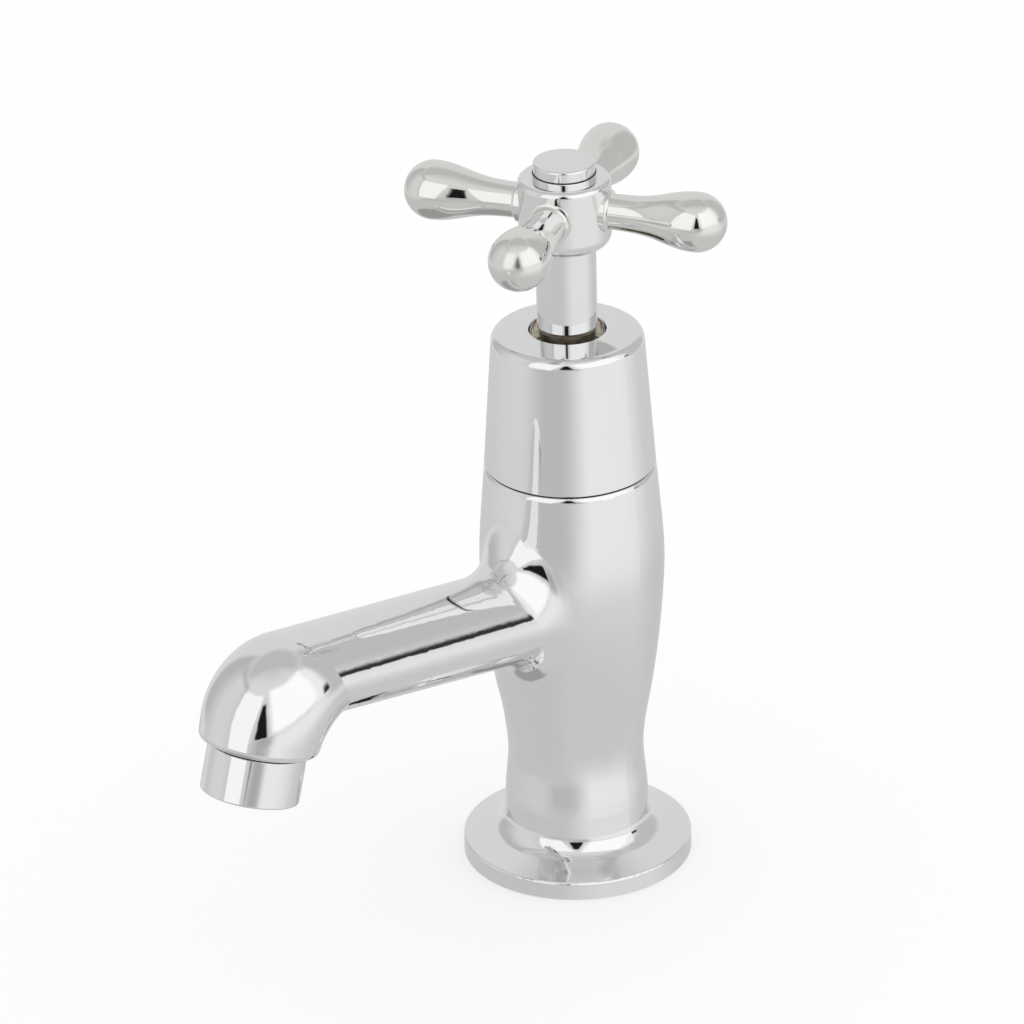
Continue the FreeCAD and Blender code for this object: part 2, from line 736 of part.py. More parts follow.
def index_cap():
    """The plain round cap over the screw, pushed into the hub."""
    seal_middle = cap_bottom - cap_plug_depth / 2
    groove = screw_well_radius - 2 * cap_seal_wire
    return turned([(0, cap_bottom - cap_plug_depth), (cap_plug_radius, cap_bottom - cap_plug_depth),
                   (cap_plug_radius, seal_middle - cap_seal_wire), (groove, seal_middle - cap_seal_wire),
                   (groove, seal_middle + cap_seal_wire), (cap_plug_radius, seal_middle + cap_seal_wire),
                   (cap_plug_radius, cap_bottom), (cap_radius, cap_bottom),
                   (cap_radius, cap_bottom + cap_thickness, cap_round), (0, cap_bottom + cap_thickness)])


def cap_seal():
    """The thin ring of rubber that holds the cap in the hub."""
    return o_ring(screw_well_radius - cap_seal_wire, cap_seal_wire, cap_bottom - cap_plug_depth / 2)


# -------------------------------------------------------- aerator, made about Z with the outlet face at 0
def aerator_collar():
    """The threaded collar at the outlet."""
    shape = turned([(collar_lip_radius, collar_bottom), (collar_radius, collar_bottom, collar_edge_round),
                    (collar_radius, collar_top, collar_top_round), (collar_thread_radius, collar_top),
                    (collar_thread_radius, collar_thread_length), (collar_bore, collar_thread_length),
                    (collar_bore, insert_bottom), (collar_lip_radius, insert_bottom)])
    return on_outlet(shape)


def seam_seal():
    """The ring of rubber that shows between the spout and the collar."""
    return on_outlet(tube(seam_seal_radius, collar_thread_radius, collar_top, 0))


def aerator_insert():
    """The moulded cup that mixes air into the water."""
    outer = collar_bore - insert_clearance
    top = collar_thread_length
    bottom = insert_bottom + screen_thickness
    inner = outer - insert_wall
    cup = turned([(0, top - insert_roof), (0, top), (outer, top), (outer, bottom), (inner, bottom),
                  (inner, top - insert_roof)])
    hole = rod(insert_hole, top - 2 * insert_roof, top + through)
    hole.translate(V(insert_hole_ring, 0, 0))
    for k in range(insert_hole_count):
        cup = cup.cut(about_z(hole, 360 * k / insert_hole_count))
    return on_outlet(cup)


def aerator_washer():
    """The flat washer that seals the collar's end in the spout."""
    outer = collar_thread_radius - washer_edge_clearance
    return on_outlet(tube(outer, outer - washer_ring_width, collar_thread_length, outlet_bore_depth))


def aerator_screen():
    """The outlet plate, drilled in a honeycomb."""
    plate = rod(collar_bore - insert_clearance, insert_bottom, insert_bottom + screen_thickness)
    hole = rod(screen_hole, insert_bottom - through, insert_bottom + screen_thickness + through)
    span = range(-screen_rings, screen_rings + 1)
    for i, j in ((i, j) for i in span for j in span if abs(i + j) <= screen_rings):
        drill = hole.copy()
        drill.translate(V(screen_pitch * (i + j / 2), screen_pitch * j * math.sqrt(3) / 2, 0))
        plate = plate.cut(drill)
    return on_outlet(plate)


# -------------------------------------------------------- every piece by name
pieces = {
    "tap_body": body(),
    "inlet_shank": inlet_shank(),
    "shank_seal": shank_seal(),
    "base_gasket": tube(gasket_outer, gasket_inner, 0, gasket_thickness),
    "deck_washer": under_deck_ring(soft_washer_radius, clamp_top, washer_top),
    "clamp_washer": under_deck_ring(clamp_washer_radius, nut_top, clamp_top),
    "backnut": backnut(),
    "bonnet": bonnet(),
    "bonnet_seal": bonnet_seal(),
    "cartridge_housing": cartridge_housing(),
    "cartridge_washer": cartridge_washer(),
    "seat_seal": seat_seal(),
    "fixed_disc": ceramic_disc(fixed_disc_bottom, 0),
    "thrust_washer": thrust_washer(),
    "aerator_collar": aerator_collar(),
    "aerator_seam_seal": seam_seal(),
    "aerator_insert": aerator_insert(),
    "aerator_screen": aerator_screen(),
    "aerator_washer": aerator_washer(),
    "moving_disc": ceramic_disc(moving_disc_bottom, 90),
    "spindle": spindle(),
    "spindle_seals": spindle_seals(),
    "spindle_circlip": circlip(),
    "handle_sleeve": handle_sleeve(),
    "handle_hub": hub(),
    "handle_screw": handle_screw(),
    "index_cap": index_cap(),
    "cap_seal": cap_seal(),
}
for index in range(arm_count):
    pieces["handle_arm_%d" % (index + 1)] = arm(index)

os.makedirs("parts", exist_ok=True)
for name, shape in pieces.items():
    shape.exportStep("parts/%s.step" % name)
    line = "%-20s solids %d  volume %10.2f  valid %s"
    print(line % (name, len(shape.Solids), shape.Volume, shape.isValid()))
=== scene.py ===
import logging
import math
from dataclasses import dataclass
from enum import Enum

import bmesh
import bpy
from mathutils import Matrix, Vector


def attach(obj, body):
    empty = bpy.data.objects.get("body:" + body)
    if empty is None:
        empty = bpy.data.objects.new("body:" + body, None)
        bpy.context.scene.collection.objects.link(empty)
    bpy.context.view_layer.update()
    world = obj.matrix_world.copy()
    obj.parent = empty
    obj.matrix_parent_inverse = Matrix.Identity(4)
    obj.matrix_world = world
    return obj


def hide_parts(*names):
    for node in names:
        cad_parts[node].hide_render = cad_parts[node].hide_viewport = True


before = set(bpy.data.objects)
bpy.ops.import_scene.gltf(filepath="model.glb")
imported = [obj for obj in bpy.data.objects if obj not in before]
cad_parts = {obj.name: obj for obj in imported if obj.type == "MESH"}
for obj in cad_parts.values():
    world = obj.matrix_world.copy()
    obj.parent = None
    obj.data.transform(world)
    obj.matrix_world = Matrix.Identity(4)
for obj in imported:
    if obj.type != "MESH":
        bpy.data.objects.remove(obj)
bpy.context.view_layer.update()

MM = 0.001
WELD_DISTANCE = 0.5e-6          # points nearer than this, in metres, are one point

logging.basicConfig(level=logging.INFO, format="%(message)s")
log = logging.getLogger("cross_handle_tap")

Colour = tuple[float, float, float]

MIDDLE = (0.3, 0.7)             # the range that most of a noise's values lie in


# ---------------------------------------------------------------- named options
class Body(Enum):
    """The moving bodies of the frame."""

    TAP = "tap"
    HANDLE = "handle"


class Slot(Enum):
    """The record's material slots."""

    CHROME_PLATE = "chrome_plate"
    ARM_PLATE = "arm_plate"
    BRASS = "brass"
    STEEL = "steel"
    BLACK_RUBBER = "black_rubber"
    RED_FIBRE = "red_fibre"
    CERAMIC = "ceramic"
    ACETAL = "acetal"


# ---------------------------------------------------------------- node trees
class NodeSheet:
    """A node tree that is being laid out, with short calls for its usual steps."""

    def __init__(self, tree: bpy.types.NodeTree) -> None:
        """Empty a tree and keep it.

        Args:
            tree: the tree of a material or of the world.
        """
        tree.nodes.clear()
        self.tree = tree

    def add(self, kind: str, **settings: object) -> bpy.types.Node:
        """Add a node.

        Args:
            kind: the node's type, without its ShaderNode prefix.
            settings: properties to set on the node.

        Returns:
            The new node.
        """
        node = self.tree.nodes.new("ShaderNode" + kind)
        for name, value in settings.items():
            setattr(node, name, value)
        return node

    def feed(self, socket: bpy.types.NodeSocket, value: object) -> None:
        """Link another node's socket to an input, or set a plain value on it.

        Args:
            socket: the input.
            value: an output socket, a number or a tuple.
        """
        if isinstance(value, bpy.types.NodeSocket):
            self.tree.links.new(value, socket)
        else:
            socket.default_value = value

    def sum_of(self, operation: str, *terms: object) -> bpy.types.NodeSocket:
        """Add a Math node.

        Args:
            operation: the node's operation.
            terms: its sockets or numbers, as many as the operation takes.

        Returns:
            The result's socket.
        """
        node = self.add("Math", operation=operation)
        for socket, term in zip(node.inputs, terms):
            self.feed(socket, term)
        return node.outputs[0]

    def spread(self, value: object, low: float, high: float, to_low: float = 0.0,
               to_high: float = 1.0, smooth: bool = True) -> bpy.types.NodeSocket:
        """Map a range of numbers to another, held at its ends.

        Args:
            value: the socket to map.
            low: its value that gives to_low.
            high: its value that gives to_high.
            to_low: the result at low.
            to_high: the result at high.
            smooth: ease the ends instead of a straight ramp.

        Returns:
            The result's socket.
        """
        node = self.add("MapRange", interpolation_type="SMOOTHSTEP" if smooth else "LINEAR")
        for name, number in (("From Min", low), ("From Max", high), ("To Min", to_low),
                             ("To Max", to_high)):
            node.inputs[name].default_value = number
        self.feed(node.inputs["Value"], value)
        return node.outputs["Result"]

    def blend(self, share: object, first: object, second: object) -> bpy.types.NodeSocket:
        """Mix two colours.

        Args:
            share: the share of the second colour.
            first: a colour or socket.
            second: a colour or socket.

        Returns:
            The mixed colour's socket.
        """
        node = self.add("Mix", data_type="RGBA")
        self.feed(node.inputs["Factor"], share)
        ends = [socket for socket in node.inputs if socket.type == "RGBA"]
        for socket, value in zip(ends, (first, second)):
            self.feed(socket, value if isinstance(value, bpy.types.NodeSocket) else (*value, 1.0))
        return next(socket for socket in node.outputs if socket.type == "RGBA")

    def noise(self, place: object, per_metre: float, detail: float = 2.0,
              roughness: float = 0.5) -> bpy.types.NodeSocket:
        """Add an even noise.

        Args:
            place: the coordinates it reads.
            per_metre: how many blotches fit in a metre.
            detail: octaves of finer noise.
            roughness: how strong the finer octaves are.

        Returns:
            The noise's value socket.
        """
        node = self.add("TexNoise")
        self.feed(node.inputs["Vector"], place)
        node.inputs["Scale"].default_value = per_metre
        node.inputs["Detail"].default_value = detail
        node.inputs["Roughness"].default_value = roughness
        return node.outputs["Fac"]


@dataclass(frozen=True)
class Finish:
    """What every finish has: a name, a colour and how rough its surface is."""

    name: str
    colour: Colour
    roughness: float

    def material(self) -> bpy.types.Material:
        """Make the finish as a material with its own node tree.

        Returns:
            The new material.
        """
        material = bpy.data.materials.new(self.name)
        material.use_nodes = True
        sheet = NodeSheet(material.node_tree)
        shader = sheet.add("BsdfPrincipled")
        output = sheet.add("OutputMaterial")
        sheet.feed(output.inputs["Surface"], shader.outputs["BSDF"])
        place = sheet.add("TexCoord").outputs["Object"]
        self.lay_out(sheet, shader, place)
        material.diffuse_color = (*self.colour, 1.0)
        return material

    def lay_out(self, sheet: NodeSheet, shader: bpy.types.Node,
                place: bpy.types.NodeSocket) -> None:
        """Wire the finish's colour, roughness and relief to its shader.

        Args:
            sheet: the tree to add nodes to.
            shader: the Principled shader.
            place: object coordinates.
        """
        raise NotImplementedError

    def emboss(self, sheet: NodeSheet, shader: bpy.types.Node, height: bpy.types.NodeSocket,
               depth: float) -> None:
        """Give the shader a fine relief.

        Args:
            sheet: the tree to add nodes to.
            shader: the Principled shader.
            height: the relief's height, from 0 to 1.
            depth: what a height of 1 stands for, in metres.
        """
        bump = sheet.add("Bump")
        bump.inputs["Strength"].default_value = 1.0
        bump.inputs["Distance"].default_value = depth
        sheet.feed(bump.inputs["Height"], height)
        sheet.feed(shader.inputs["Normal"], bump.outputs["Normal"])


@dataclass(frozen=True)
class MirrorPlate(Finish):
    """Bright plating on polished brass: a mirror with a faint polisher's ripple and haze."""

    haze: float = 0.02
    ripple_depth: float = 0.8e-6
    ripple_per_metre: float = 70.0
    tone_per_metre: float = 45.0
    darkest_tone: float = 0.965
    cloud_per_metre: float = 160.0
    cloud_share: float = 0.7
    wipe_per_metre: float = 1900.0

    def lay_out(self, sheet: NodeSheet, shader: bpy.types.Node,
                place: bpy.types.NodeSocket) -> None:
        """Wire the plating's faint cloudiness, its haze and its ripple.

        Args:
            sheet: the tree to add nodes to.
            shader: the Principled shader.
            place: object coordinates.
        """
        shader.inputs["Metallic"].default_value = 1.0
        tone = sheet.noise(place, self.tone_per_metre, 3.0)
        darker = tuple(channel * self.darkest_tone for channel in self.colour)
        sheet.feed(shader.inputs["Base Color"], sheet.blend(tone, self.colour, darker))
        cloud = sheet.noise(place, self.cloud_per_metre, 4.0, 0.6)
        wipe = sheet.noise(place, self.wipe_per_metre)
        film = sheet.sum_of("ADD", sheet.sum_of("MULTIPLY", cloud, self.cloud_share),
                            sheet.sum_of("MULTIPLY", wipe, 1.0 - self.cloud_share))
        sheet.feed(shader.inputs["Roughness"],
                   sheet.spread(film, *MIDDLE, self.roughness, self.roughness + self.haze))
        ripple = sheet.noise(place, self.ripple_per_metre, 1.0)
        self.emboss(sheet, shader, ripple, self.ripple_depth)


@dataclass(frozen=True)
class RubbedPlate(MirrorPlate):
    """Plating that fingers have dulled on the far ends of the lever arms."""

    reach_start: float = 0.0325
    reach_end: float = 0.0350
    rubbed_roughness: float = 0.24
    smear_per_metre: float = 260.0
    least_rub: float = 0.8

    def lay_out(self, sheet: NodeSheet, shader: bpy.types.Node,
                place: bpy.types.NodeSocket) -> None:
        """Wire the plating, duller past a distance from the handle's axis.

        Args:
            sheet: the tree to add nodes to.
            shader: the Principled shader.
            place: object coordinates.
        """
        super().lay_out(sheet, shader, place)
        haze = shader.inputs["Roughness"].links[0].from_socket
        split = sheet.add("SeparateXYZ")
        sheet.feed(split.inputs[0], place)
        squares = [sheet.sum_of("MULTIPLY", split.outputs[axis], split.outputs[axis])
                   for axis in "XY"]
        reach = sheet.sum_of("SQRT", sheet.sum_of("ADD", *squares))
        smear = sheet.noise(place, self.smear_per_metre, 3.0)
        rub = sheet.sum_of("MULTIPLY", sheet.spread(reach, self.reach_start, self.reach_end),
                           sheet.spread(smear, 0.2, 0.8, self.least_rub, 1.0))
        worn = sheet.sum_of("MULTIPLY", rub, self.rubbed_roughness)
        sheet.feed(shader.inputs["Roughness"], sheet.sum_of("MAXIMUM", haze, worn))


@dataclass(frozen=True)
class TurnedMetal(Finish):
    """Bare metal from the lathe: fine tool marks round the axis and a little tarnish."""

    tarnish: Colour = (0.30, 0.20, 0.10)
    tarnish_share: float = 0.25
    mark_pitch: float = 0.22e-3
    mark_depth: float = 1e-6
    mark_waver: float = 3.0
    waver_per_metre: float = 300.0
    blotches_per_metre: float = 130.0
    gloss_per_metre: float = 700.0

    def lay_out(self, sheet: NodeSheet, shader: bpy.types.Node,
                place: bpy.types.NodeSocket) -> None:
        """Wire the tarnish, the tool marks and an uneven gloss.

        Args:
            sheet: the tree to add nodes to.
            shader: the Principled shader.
            place: object coordinates.
        """
        shader.inputs["Metallic"].default_value = 1.0
        cloud = sheet.noise(place, self.blotches_per_metre, 5.0, 0.6)
        blotch = sheet.spread(cloud, 0.45, 0.75, 0.0, self.tarnish_share)
        sheet.feed(shader.inputs["Base Color"], sheet.blend(blotch, self.colour, self.tarnish))
        split = sheet.add("SeparateXYZ")
        sheet.feed(split.inputs[0], place)
        waver = sheet.sum_of("MULTIPLY", sheet.noise(place, self.waver_per_metre),
                             self.mark_pitch * self.mark_waver)
        lift = sheet.sum_of("ADD", split.outputs["Z"], waver)
        turns = sheet.sum_of("MULTIPLY", lift, 2 * math.pi / self.mark_pitch)
        marks = sheet.sum_of("MULTIPLY_ADD", sheet.sum_of("SINE", turns), 0.5, 0.5)
        gloss = sheet.noise(place, self.gloss_per_metre, 3.0)
        sheet.feed(shader.inputs["Roughness"],
                   sheet.spread(gloss, *MIDDLE, self.roughness * 0.8, self.roughness * 1.25))
        self.emboss(sheet, shader, marks, self.mark_depth)


@dataclass(frozen=True)
class Moulded(Finish):
    """Moulded rubber or plastic: a fine even grain and slightly uneven gloss."""

    grain_per_metre: float = 2600.0
    grain_depth: float = 12e-6
    bloom: Colour = (0.10, 0.10, 0.10)
    bloom_share: float = 0.2
    bloom_per_metre: float = 220.0

    def lay_out(self, sheet: NodeSheet, shader: bpy.types.Node,
                place: bpy.types.NodeSocket) -> None:
        """Wire the bloom on the surface and its grain.

        Args:
            sheet: the tree to add nodes to.
            shader: the Principled shader.
            place: object coordinates.
        """
        cloud = sheet.noise(place, self.bloom_per_metre, 4.0, 0.6)
        film = sheet.spread(cloud, 0.4, 0.75, 0.0, self.bloom_share)
        sheet.feed(shader.inputs["Base Color"], sheet.blend(film, self.colour, self.bloom))
        grain = sheet.noise(place, self.grain_per_metre, 3.0, 0.6)
        sheet.feed(shader.inputs["Roughness"],
                   sheet.spread(grain, *MIDDLE, self.roughness * 0.9, self.roughness * 1.1))
        self.emboss(sheet, shader, grain, self.grain_depth)


@dataclass(frozen=True)
class Speckled(Finish):
    """Pressed fibre or sintered ceramic: small specks of a second colour in the first."""

    speck: Colour = (0.20, 0.05, 0.03)
    specks_per_metre: float = 2200.0
    speck_share: float = 0.5
    relief: float = 10e-6
    weave_scale: float = 0.4

    def lay_out(self, sheet: NodeSheet, shader: bpy.types.Node,
                place: bpy.types.NodeSocket) -> None:
        """Wire the specks and the relief between them.

        Args:
            sheet: the tree to add nodes to.
            shader: the Principled shader.
            place: object coordinates.
        """
        cells = sheet.add("TexVoronoi")
        sheet.feed(cells.inputs["Vector"], place)
        cells.inputs["Scale"].default_value = self.specks_per_metre
        flecks = sheet.spread(cells.outputs["Distance"], 0.25, 0.6, self.speck_share, 0.0)
        weave = sheet.noise(place, self.specks_per_metre * self.weave_scale, 4.0, 0.65)
        both = sheet.sum_of("MULTIPLY", flecks, sheet.spread(weave, 0.35, 0.65))
        sheet.feed(shader.inputs["Base Color"], sheet.blend(both, self.colour, self.speck))
        sheet.feed(shader.inputs["Roughness"],
                   sheet.spread(weave, *MIDDLE, self.roughness * 0.9, self.roughness * 1.1))
        self.emboss(sheet, shader, weave, self.relief)


FINISHES: dict[Slot, Finish] = {
    Slot.CHROME_PLATE: MirrorPlate("bright_chrome", (0.82, 0.825, 0.83), 0.03),
    Slot.ARM_PLATE: RubbedPlate("arm_chrome", (0.80, 0.80, 0.775), 0.03),
    Slot.BRASS: TurnedMetal("turned_brass", (0.64, 0.57, 0.46), 0.36,
                            tarnish=(0.44, 0.37, 0.28), tarnish_share=0.35),
    Slot.STEEL: TurnedMetal("turned_steel", (0.60, 0.61, 0.62), 0.28, tarnish=(0.32, 0.31, 0.30)),
    Slot.BLACK_RUBBER: Moulded("black_rubber", (0.018, 0.018, 0.019), 0.62),
    Slot.RED_FIBRE: Speckled("red_fibre", (0.36, 0.07, 0.04), 0.8),
    Slot.CERAMIC: Speckled("sintered_ceramic", (0.86, 0.85, 0.82), 0.22, speck=(0.74, 0.73, 0.70),
                           specks_per_metre=3500.0, speck_share=0.4, relief=1e-6),
    Slot.ACETAL: Moulded("moulded_acetal", (0.84, 0.84, 0.81), 0.38, grain_per_metre=1500.0,
                         grain_depth=6e-6, bloom=(0.78, 0.78, 0.74), bloom_share=0.5),
}


class Wardrobe:
    """The finished materials, one for each slot, made once and shared."""

    def __init__(self) -> None:
        """Make every material."""
        self.materials = {slot: finish.material() for slot, finish in FINISHES.items()}

    def dress_node(self, name: str, slot: Slot) -> None:
        """Give a CAD node its finish.

        Args:
            name: the node.
            slot: the finish's slot.
        """
        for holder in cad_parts[name].material_slots:
            holder.material = self.materials[slot]
        log.info("dressed %-20s in %s", name, self.materials[slot].name)

    def dress_piece(self, piece: bpy.types.Object, slot: Slot) -> None:
        """Give a new piece its finish.

        Args:
            piece: the new object.
            slot: the finish's slot.
        """
        piece.data.materials.clear()
        piece.data.materials.append(self.materials[slot])


# ---------------------------------------------------------------- shaping
class Lathe:
    """Turns profiles into meshes about the column's axis."""

    def __init__(self, steps: int) -> None:
        """Keep how finely a full turn is divided.

        Args:
            steps: flat sides in a full turn.
        """
        self.steps = steps

    def turn(self, outline: list[tuple[float, float]]) -> bmesh.types.BMesh:
        """Spin a closed outline of (radius, height) points, in millimetres, about Z.

        Args:
            outline: the points in order; the last is joined to the first.

        Returns:
            The turned mesh, in metres, with its normals pointing outwards.
        """
        mesh = bmesh.new()
        verts = [mesh.verts.new((radius * MM, 0.0, height * MM)) for radius, height in outline]
        edges = [mesh.edges.new(pair) for pair in zip(verts, verts[1:] + verts[:1])]
        bmesh.ops.spin(mesh, geom=verts + edges, cent=(0, 0, 0), axis=(0, 0, 1), dvec=(0, 0, 0),
                       angle=2 * math.pi, steps=self.steps, use_merge=True, use_duplicate=False)
        bmesh.ops.remove_doubles(mesh, verts=mesh.verts, dist=WELD_DISTANCE)
        bmesh.ops.recalc_face_normals(mesh, faces=mesh.faces)
        return mesh


def finished_piece(name: str, mesh: bmesh.types.BMesh,
                   sharp_angle: float = 32.0) -> bpy.types.Object:
    """Make a shaded object of a mesh that is already in its place.

    Args:
        name: the object's name.
        mesh: the mesh, which is freed.
        sharp_angle: degrees between two faces past which their edge stays crisp.

    Returns:
        The object, linked to the scene.
    """
    data = bpy.data.meshes.new(name)
    mesh.to_mesh(data)
    mesh.free()
    data.shade_smooth()
    data.set_sharp_from_angle(angle=math.radians(sharp_angle))
    piece = bpy.data.objects.new(name, data)
    bpy.context.scene.collection.objects.link(piece)
    return piece


# ---------------------------------------------------------------- the tap's sub-assemblies
@dataclass
class Casting:
    """The cast body: foot, waisted column and spout, with the bonnet above it, in millimetres."""

    plated: tuple[str, ...] = ("tap_body", "bonnet")
    rubber: tuple[str, ...] = ("bonnet_seal", "shank_seal")
    joint_inside: float = 18.4
    joint_outside: float = 18.86
    joint_top: float = 97.985
    joint_inner_edge: float = 97.9
    joint_outer_edge: float = 97.68
    joint_sides: int = 180

    def seam_joint(self) -> bpy.types.Object:
        """Make the thin black ring that darkens the seam between the body's shoulder and the
        bonnet.

        Returns:
            The ring, in its place.
        """
        outline = [(self.joint_inside, self.joint_inner_edge),
                   (self.joint_outside, self.joint_outer_edge),
                   (self.joint_outside, self.joint_top), (self.joint_inside, self.joint_top)]
        return finished_piece("seam_joint", Lathe(self.joint_sides).turn(outline))

    def build(self, wardrobe: Wardrobe) -> None:
        """Make the seam's dark ring and dress the casting, its cover and the rubber between them.

        Args:
            wardrobe: the finished materials.
        """
        # a thin black ring that makes the seam line dark
        seam_ring = self.seam_joint()
        wardrobe.dress_piece(seam_ring, Slot.BLACK_RUBBER)
        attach(seam_ring, Body.TAP.value)
        log.info("built %s with %d faces", seam_ring.name, len(seam_ring.data.polygons))
        for name in self.plated:
            wardrobe.dress_node(name, Slot.CHROME_PLATE)
        for name in self.rubber:
            wardrobe.dress_node(name, Slot.BLACK_RUBBER)


@dataclass
class DeckFixing:
    """The threaded tail below the foot and what clamps it to a deck, in millimetres."""

    radius: float = 10.48
    bore: float = 6.5
    bottom: float = -50.0
    top: float = 12.0
    chamfer: float = 1.0
    seal_groove: float = 1.8
    thread_top: float = -3.0
    thread_fade: float = 1.2
    thread_pitch: float = 1.814
    thread_depth: float = 1.05
    thread_crest: float = 0.16
    thread_flank: float = 0.34
    thread_start: float = 0.4
    points_per_pitch: int = 12
    sides: int = 72
    crisp_angle: float = 50.0
    slack: float = 0.05

    def thread_dip(self, share: float) -> float:
        """How deep the thread is at a share of its pitch.

        Args:
            share: from 0 to 1 along the pitch.

        Returns:
            The depth, from 0 at the crest to 1 at the root.
        """
        away = abs((share + 0.5) % 1.0 - 0.5) * 2
        return min(1.0, max(0.0, (away - self.thread_crest) / (2 * self.thread_flank)))

    def tail(self) -> bpy.types.Object:
        """Make the tail with its helical thread.

        Returns:
            The tail, in its place.
        """
        step = self.thread_pitch / self.points_per_pitch
        count = int((self.thread_top - self.bottom - self.chamfer) / step)
        outline = [(self.bore, self.bottom), (self.radius - self.chamfer, self.bottom)]
        outline += [(self.radius, self.bottom + self.chamfer + k * step) for k in range(count + 1)]
        groove = self.top - self.seal_groove
        inner = self.radius - self.seal_groove
        outline += [(self.radius, groove), (inner, groove), (inner, self.top),
                    (self.bore, self.top)]
        mesh = Lathe(self.sides).turn(outline)
        self.cut_thread(mesh)
        return finished_piece("threaded_tail", mesh, self.crisp_angle)

    def cut_thread(self, mesh: bmesh.types.BMesh) -> None:
        """Sink the thread into a plain tail, fading out at both ends.

        Args:
            mesh: the tail, in metres.
        """
        low = self.bottom + self.chamfer
        for vert in mesh.verts:
            radius = vert.co.xy.length / MM
            height = vert.co.z / MM
            threaded = low - self.slack < height <= self.thread_top
            if not threaded or radius < self.radius - self.slack:
                continue
            turn = math.atan2(vert.co.y, vert.co.x) / (2 * math.pi)
            fade = min(1.0, (height - low) / self.thread_fade + self.thread_start,
                       (self.thread_top - height) / self.thread_fade)
            share = self.thread_dip(height / self.thread_pitch - turn)
            dip = self.thread_depth * share * max(0.0, fade)
            vert.co.xy *= (radius - dip) / radius

    def build(self, wardrobe: Wardrobe) -> None:
        """Make the tail and dress the fixings round it.

        Args:
            wardrobe: the finished materials.
        """
        tail = self.tail()
        wardrobe.dress_piece(tail, Slot.BRASS)
        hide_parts("inlet_shank")
        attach(tail, Body.TAP.value)
        log.info("built %s with %d faces", tail.name, len(tail.data.polygons))
        for name, slot in (("inlet_shank", Slot.BRASS), ("backnut", Slot.BRASS),
                           ("clamp_washer", Slot.STEEL), ("base_gasket", Slot.BLACK_RUBBER),
                           ("deck_washer", Slot.BLACK_RUBBER)):
            wardrobe.dress_node(name, slot)


@dataclass
class Cartridge:
    """The ceramic disc cartridge inside the bonnet and its toothed spindle."""

    def build(self, wardrobe: Wardrobe) -> None:
        """Dress every part of the cartridge.

        Args:
            wardrobe: the finished materials.
        """
        for name, slot in (("cartridge_housing", Slot.BRASS), ("spindle", Slot.BRASS),
                           ("cartridge_washer", Slot.RED_FIBRE), ("seat_seal", Slot.BLACK_RUBBER),
                           ("fixed_disc", Slot.CERAMIC), ("moving_disc", Slot.CERAMIC),
                           ("thrust_washer", Slot.ACETAL), ("spindle_seals", Slot.BLACK_RUBBER),
                           ("spindle_circlip", Slot.STEEL)):
            wardrobe.dress_node(name, slot)


@dataclass
class Aerator:
    """The collar at the outlet, the seal above it and the moulded insert inside."""

    def build(self, wardrobe: Wardrobe) -> None:
        """Dress every part of the aerator.

        Args:
            wardrobe: the finished materials.
        """
        for name, slot in (("aerator_collar", Slot.CHROME_PLATE),
                           ("aerator_seam_seal", Slot.BLACK_RUBBER),
                           ("aerator_washer", Slot.BLACK_RUBBER),
                           ("aerator_insert", Slot.ACETAL), ("aerator_screen", Slot.ACETAL)):
            wardrobe.dress_node(name, slot)


